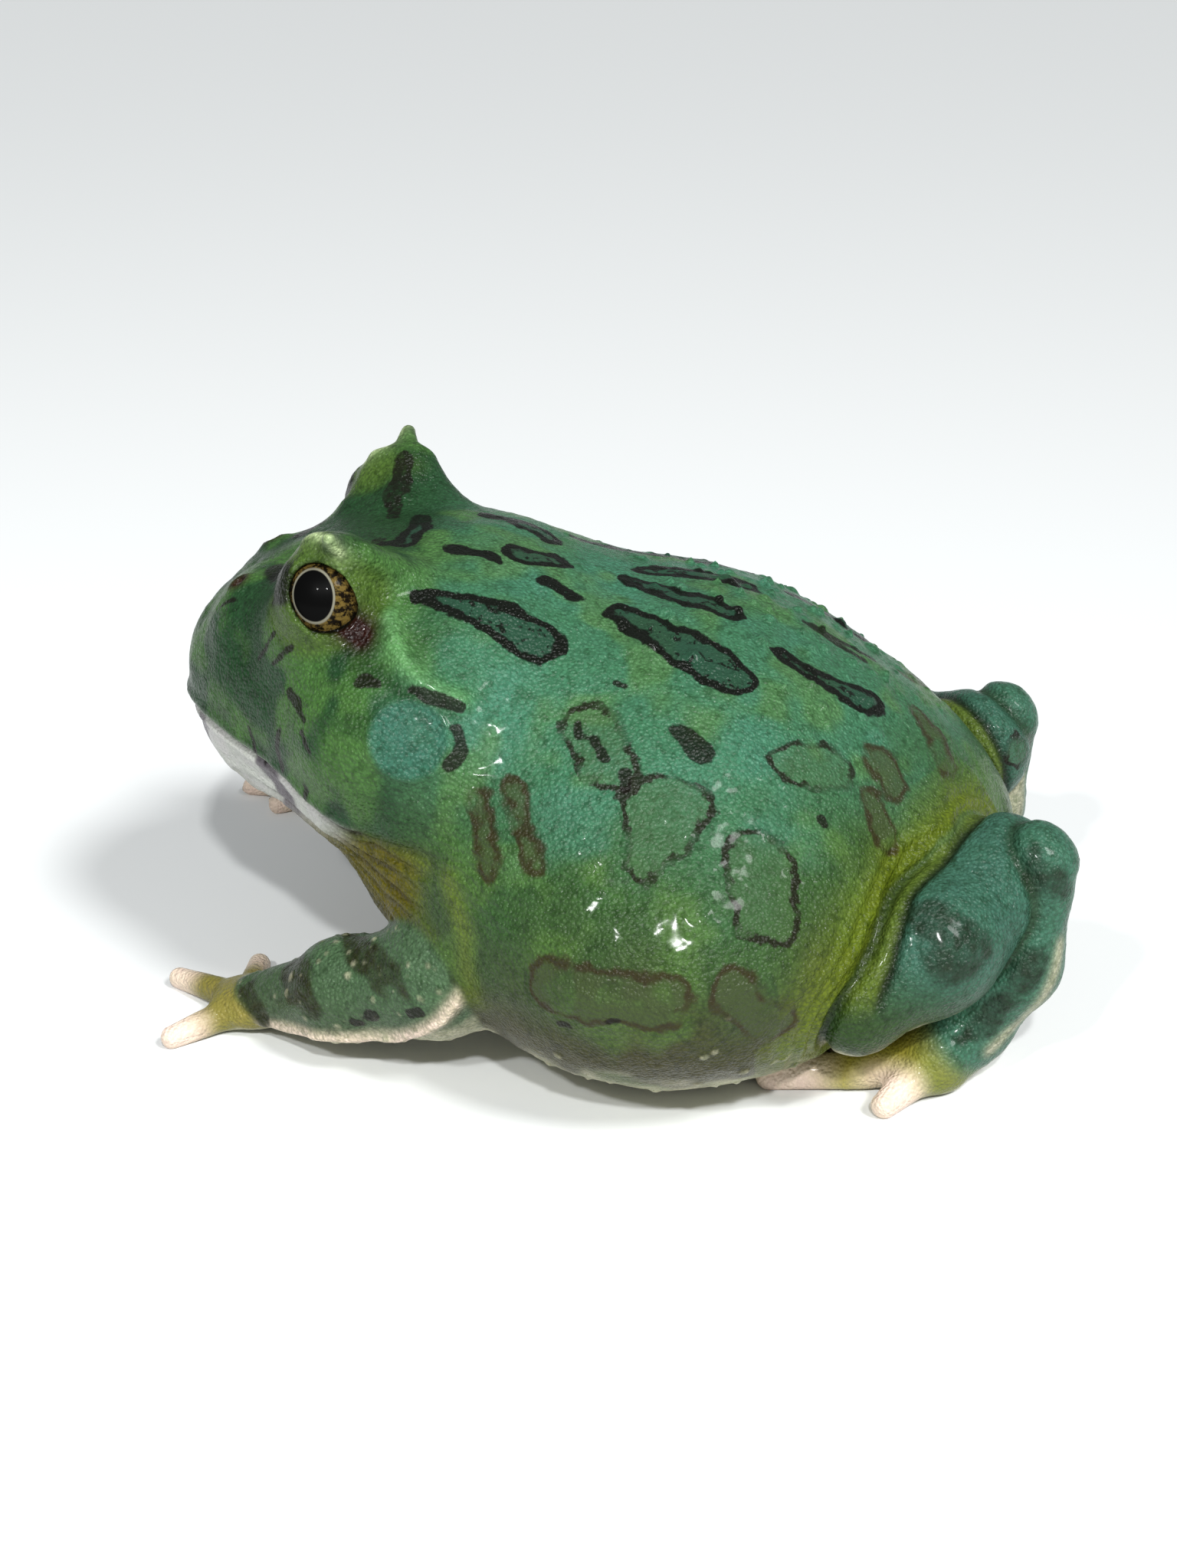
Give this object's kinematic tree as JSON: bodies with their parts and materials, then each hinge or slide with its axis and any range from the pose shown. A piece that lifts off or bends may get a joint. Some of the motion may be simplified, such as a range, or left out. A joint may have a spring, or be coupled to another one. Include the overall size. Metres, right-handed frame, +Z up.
{
  "type": "argentine horned frog",
  "caption": "Life-size model of an argentine horned frog sitting at rest, with a wide mouth, fleshy lid horns, a round belly and legs folded beside it.",
  "frame": {"origin": "on the floor, at the middle of the bounding box's bottom", "axes": "+X to the frog's left side, +Y towards its vent, so that it faces -Y, and +Z up"},
  "size_m": [0.0952, 0.1092, 0.0596],
  "materials": {
    "skin": "wet, finely granular green-teal skin with dark-edged blotches",
    "pale_skin": "wet pale skin with grey-purple bars",
    "digit_skin": "wet smooth skin, olive-yellow to pale pink at the tips",
    "eye": "wet clear cornea over a black pupil and a mottled gold-brown iris"
  },
  "bodies": {
    "root": {"head": "skin", "lower_jaw": "pale_skin", "torso": "skin", "horn_left": "skin", "horn_right": "skin", "eye_left": "eye", "eye_right": "eye", "tympanum_left": "skin", "tympanum_right": "skin", "arm_left": "skin", "arm_right": "skin", "hand_left": "digit_skin", "hand_right": "digit_skin", "thigh_left": "skin", "thigh_right": "skin", "shank_left": "skin", "shank_right": "skin", "foot_left": "digit_skin", "foot_right": "digit_skin"}
  },
  "joints": []
}
